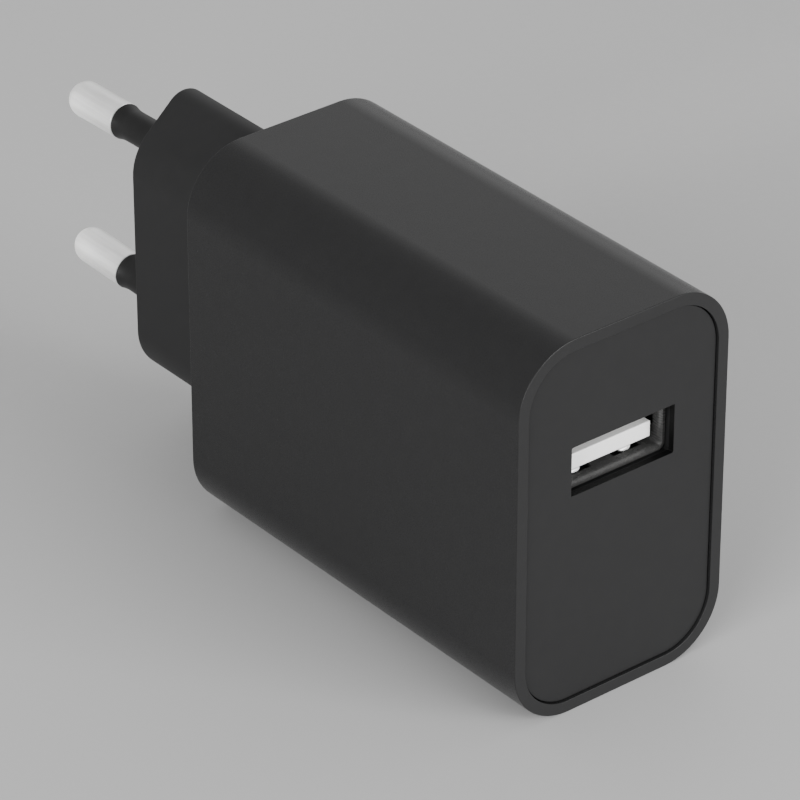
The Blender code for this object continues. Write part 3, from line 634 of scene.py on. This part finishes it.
def make_usb_shell():
    """The socket's sheet-metal shell, flared at the mouth, with bent-in spring tabs and board legs."""
    front, rear = SHELL_LOW.y, SHELL_HIGH.y
    flare, flare_length = 0.16 * MM, 0.8 * MM
    rings = []
    for wall in (0.0, -SHEET):
        along = [(0.0, rear), (0.0, front + flare_length)]
        for step in range(1, 6):
            share = step / 5
            along.append((flare * share ** 2, front + flare_length * (1 - share)))
        section = [shell_ring(grow + wall, y) for grow, y in along]
        rings += section if wall == 0.0 else section[::-1]
    bm = bmesh.new()
    skin(bm, rings, closed=True)
    # Painted shade: the whole shell is made from the darkened tin.
    piece = finish_mesh("socket_shell", bm, SHADED_TIN)
    slot_y, slot_end = front + 1.3 * MM, front + 6.5 * MM
    slot_half, side_slot_half, side_lift = 1.8 * MM, 1.3 * MM, 0.5 * MM
    tab_width, side_tab_width, tab_tip = 1.6 * MM, 1.3 * MM, 0.6 * MM
    leg_half, leg_overlap = 0.7 * MM, 0.5 * MM
    tool = bmesh.new()
    springs = bmesh.new()
    wall_x, wall_z = SHELL_HALF[0] - SHEET / 2, SHELL_HALF[1] - SHEET / 2
    flat_path = tab_path(slot_y, slot_end, 0.5 * MM)
    side_path = tab_path(slot_y, slot_end, 0.3 * MM)
    for side in (-1, 1):
        z = PORT_Z + side * wall_z
        for x in (PORT_X - TAB_X, PORT_X + TAB_X):
            add_box(tool, (x - slot_half, slot_y, z - SHEET), (x + slot_half, slot_end, z + SHEET))
            bent_strip(springs, flat_path, tab_width, SHEET,
                       lambda a, y, inward: Vector((x + a, y, z - side * inward)), tab_tip)
        for y in (front + 7.2 * MM, front + 11.8 * MM):
            low = (SHELL_LOW.x, y - leg_half, z - SHEET / 2)
            add_box(springs, low, (PORT_X - wall_x + leg_overlap, y + leg_half, z + SHEET / 2))
        x, z = PORT_X + side * wall_x, PORT_Z + side_lift
        low = (x - SHEET, slot_y, z - side_slot_half)
        add_box(tool, low, (x + SHEET, slot_end, z + side_slot_half))
        bent_strip(springs, side_path, side_tab_width, SHEET,
                   lambda a, y, inward: Vector((x - side * inward, y, z + a)), tab_tip)
    carve(piece, tool)
    carve(piece, springs, "UNION")
    shade(piece.data)
    # Painted highlight: the faces round the free ends of the spring tabs get the near-white tin.
    highlight_front, highlight_rear = slot_y + 0.1 * MM, slot_y + 2.2 * MM
    highlight_half_height, highlight_half_width = SHELL_HALF[1] + 0.02 * MM, 0.85 * MM
    give_faces(piece, TIN_PAINTED_HIGHLIGHT, lambda spot: highlight_front < spot.y < highlight_rear
               and abs(spot.z - PORT_Z) < highlight_half_height
               and abs(abs(spot.x - PORT_X) - TAB_X) < highlight_half_width)
    round_edges(piece, 0.04 * MM, 2, 50.0)
    stand_for(piece, "usb_shell", "usb_shell")


def make_insulator():
    """The white block and its tongue, grooved for the four contacts."""
    block_y = NYLON_HIGH.y - 4.2 * MM
    overlap = 1.0 * MM
    groove_half, groove_depth, tip_wall = 0.65 * MM, 1.2 * MM, 1.0 * MM
    bm = bmesh.new()
    add_box(bm, (NYLON_LOW.x, block_y, NYLON_LOW.z), NYLON_HIGH)
    piece = finish_mesh("socket_insulator", bm, WHITE)
    top = PORT_Z + TONGUE_TOP
    low = (PORT_X - TONGUE_HALF, NYLON_LOW.y, top - TONGUE_THICKNESS)
    tongue = bmesh.new()
    add_box(tongue, low, (PORT_X + TONGUE_HALF, block_y + overlap, top))
    carve(piece, tongue, "UNION")
    grooves = bmesh.new()
    for contact_low, contact_high in CONTACT_BOXES:
        x = (contact_low.x + contact_high.x) / 2
        low = (x - groove_half, NYLON_LOW.y + tip_wall, top - groove_depth)
        add_box(grooves, low, (x + groove_half, NYLON_HIGH.y + overlap, top + overlap))
    carve(piece, grooves)
    shade(piece.data)
    round_edges(piece, 0.12 * MM)
    stand_for(piece, "usb_insulator", "usb_insulator")


def make_contact(number):
    """A blade that rises out of its groove in a smooth hump and dips again at its tip."""
    low, high = CONTACT_BOXES[number - 1]
    x = (low.x + high.x) / 2
    root_y, root_z = high.y - 0.05 * MM, low.z + 0.125 * MM
    length, width, thickness = 6.4 * MM, 1.0 * MM, 0.22 * MM
    hump, tip_drop, hump_share = 0.86 * MM, 0.7 * MM, 0.8
    path = []
    for step in range(25):
        share = step / 24
        rise = hump * math.sin(math.pi / 2 * min(share / hump_share, 1.0)) ** 2
        dip = tip_drop * (max(share - hump_share, 0.0) / (1.0 - hump_share)) ** 2
        path.append((root_y - length * share, root_z + rise - dip))
    bm = bmesh.new()
    bent_strip(bm, path, width, thickness, lambda a, y, z: Vector((x + a, y, z)))
    piece = finish_mesh("contact_blade_piece_%d" % number, bm, GOLD)
    stand_for(piece, "usb_contacts", "usb_contact_%d" % number, body="contact_blade_%d" % number)


# ---------------------------------------------------------------- pieces kept from the CAD

def dress_node(node, material, bevel=0.0):
    thing = frame["nodes"][node]
    thing.data.materials.clear()
    thing.data.materials.append(material)
    if bevel:
        round_edges(thing, bevel, 2)


def dress_inside():
    board = moulded_plastic("board_green", (0.012, 0.085, 0.035), (0.02, 0.13, 0.05), 0.32)
    resin = moulded_plastic("black_resin", grey(0.012), grey(0.02), 0.55)
    ferrite = moulded_plastic("ferrite", (0.035, 0.035, 0.038), (0.055, 0.055, 0.06), 0.65, 2500.0, 0.01)
    tape = moulded_plastic("yellow_tape", (0.62, 0.45, 0.06), (0.74, 0.56, 0.09), 0.30, 900.0, 0.01)
    sleeve = moulded_plastic("capacitor_sleeve", (0.02, 0.03, 0.08), (0.03, 0.05, 0.12), 0.28)
    coat = moulded_plastic("resistor_coat", (0.16, 0.28, 0.23), (0.22, 0.35, 0.30), 0.50, 1500.0, 0.01)
    blue = moulded_plastic("blue_dip", (0.04, 0.16, 0.42), (0.07, 0.22, 0.52), 0.35, 1200.0, 0.01)
    tan = moulded_plastic("chip_ceramic", (0.36, 0.27, 0.17), (0.46, 0.36, 0.24), 0.45)
    film = moulded_plastic("insulation_film", (0.68, 0.64, 0.52), (0.76, 0.73, 0.61), 0.55, 1500.0, 0.01)
    dress_node("main_board", board)
    dress_node("transformer_bobbin", resin)
    for node in ("bridge_rectifier", "controller_chip", "output_rectifier", "optocoupler"):
        dress_node(node, resin)
    for node in ("transformer_core_a", "transformer_core_b", "choke_core"):
        dress_node(node, ferrite, 0.1 * MM)
    dress_node("transformer_winding", tape)
    for kind in ("bulk", "output"):
        for number in (1, 2):
            dress_node("%s_capacitor_%d" % (kind, number), sleeve)
    dress_node("fuse_resistor", coat)
    dress_node("choke_winding", COPPER)
    dress_node("safety_capacitor", blue)
    dress_node("chip_capacitor_1", tan)
    dress_node("chip_capacitor_2", tan)
    dress_node("insulation_sheet", film)
    for word in ("upper", "lower"):
        dress_node("contact_spring_" + word, COPPER)
    for number in (1, 2, 3, 4):
        dress_node("usb_tail_%d" % number, GOLD)


# ---------------------------------------------------------------- stage

def make_camera():
    """A long lens from the left, in front and above."""
    azimuth, elevation = math.radians(-38.965), math.radians(30.916)
    distance, shift_right, focal_length = 0.49217, -0.005097, 223.94
    level = math.cos(elevation)
    back = Vector((math.sin(azimuth) * level, -math.cos(azimuth) * level, math.sin(elevation)))
    right = Vector((0.0, 0.0, 1.0)).cross(back).normalized()
    up = back.cross(right)
    target = Vector((0.0, (FRONT_Y + REAR_Y) / 2, MID_Z))
    data = bpy.data.cameras.new("camera")
    data.lens = focal_length
    data.sensor_width = 36.0
    data.clip_start = 0.01
    camera = bpy.data.objects.new("camera", data)
    bpy.context.scene.collection.objects.link(camera)
    turn = Matrix((right, up, back)).transposed()
    place = target + back * distance + right * shift_right
    camera.matrix_world = Matrix.Translation(place) @ turn.to_4x4()
    bpy.context.scene.camera = camera


def make_floor():
    half_size = 3.0
    bm = bmesh.new()
    bmesh.ops.create_grid(bm, x_segments=1, y_segments=1, size=half_size)
    mesh = bpy.data.meshes.new("floor")
    bm.to_mesh(mesh)
    bm.free()
    mesh.materials.append(plain_floor())
    floor = bpy.data.objects.new("floor", mesh)
    bpy.context.scene.collection.objects.link(floor)


def softbox(name, direction, distance, size, power, aim_y=-0.02, spread=180.0):
    """A square area light that looks at the charger from a direction, with a beam of spread degrees."""
    data = bpy.data.lights.new(name, "AREA")
    data.shape = "SQUARE"
    data.size = size
    data.energy = power
    data.spread = math.radians(spread)
    light = bpy.data.objects.new(name, data)
    bpy.context.scene.collection.objects.link(light)
    away = Vector(direction).normalized()
    light.location = Vector((0.0, aim_y, MID_Z)) + away * distance
    light.rotation_euler = away.to_track_quat("Z", "Y").to_euler()


def make_lights():
    world = bpy.data.worlds.new("studio")
    world.use_nodes = True
    background = world.node_tree.nodes["Background"]
    background.inputs["Color"].default_value = (1.0, 1.0, 1.0, 1.0)
    background.inputs["Strength"].default_value = 0.69
    bpy.context.scene.world = world
    softbox("back_right", (0.62, 0.66, 0.42), 0.9, 0.55, 0.45)
    softbox("left", (-1.0, -0.35, 0.35), 0.9, 0.6, 9.6)
    softbox("front", (0.30, -1.0, 0.30), 1.0, 0.6, 13.6)
    softbox("pins", (-1.0, 0.10, 0.06), 0.25, 0.012, 0.005, aim_y=0.048, spread=7.0)


make_camera()
make_floor()
make_lights()
make_housing()
make_face_plate()
make_plug_block()
for pin_word, pin_side in (("upper", 1), ("lower", -1)):
    make_pin(pin_word, pin_side)
    make_sleeve(pin_word, pin_side)
make_usb_shell()
make_insulator()
for contact_number in (1, 2, 3, 4):
    make_contact(contact_number)
dress_inside()
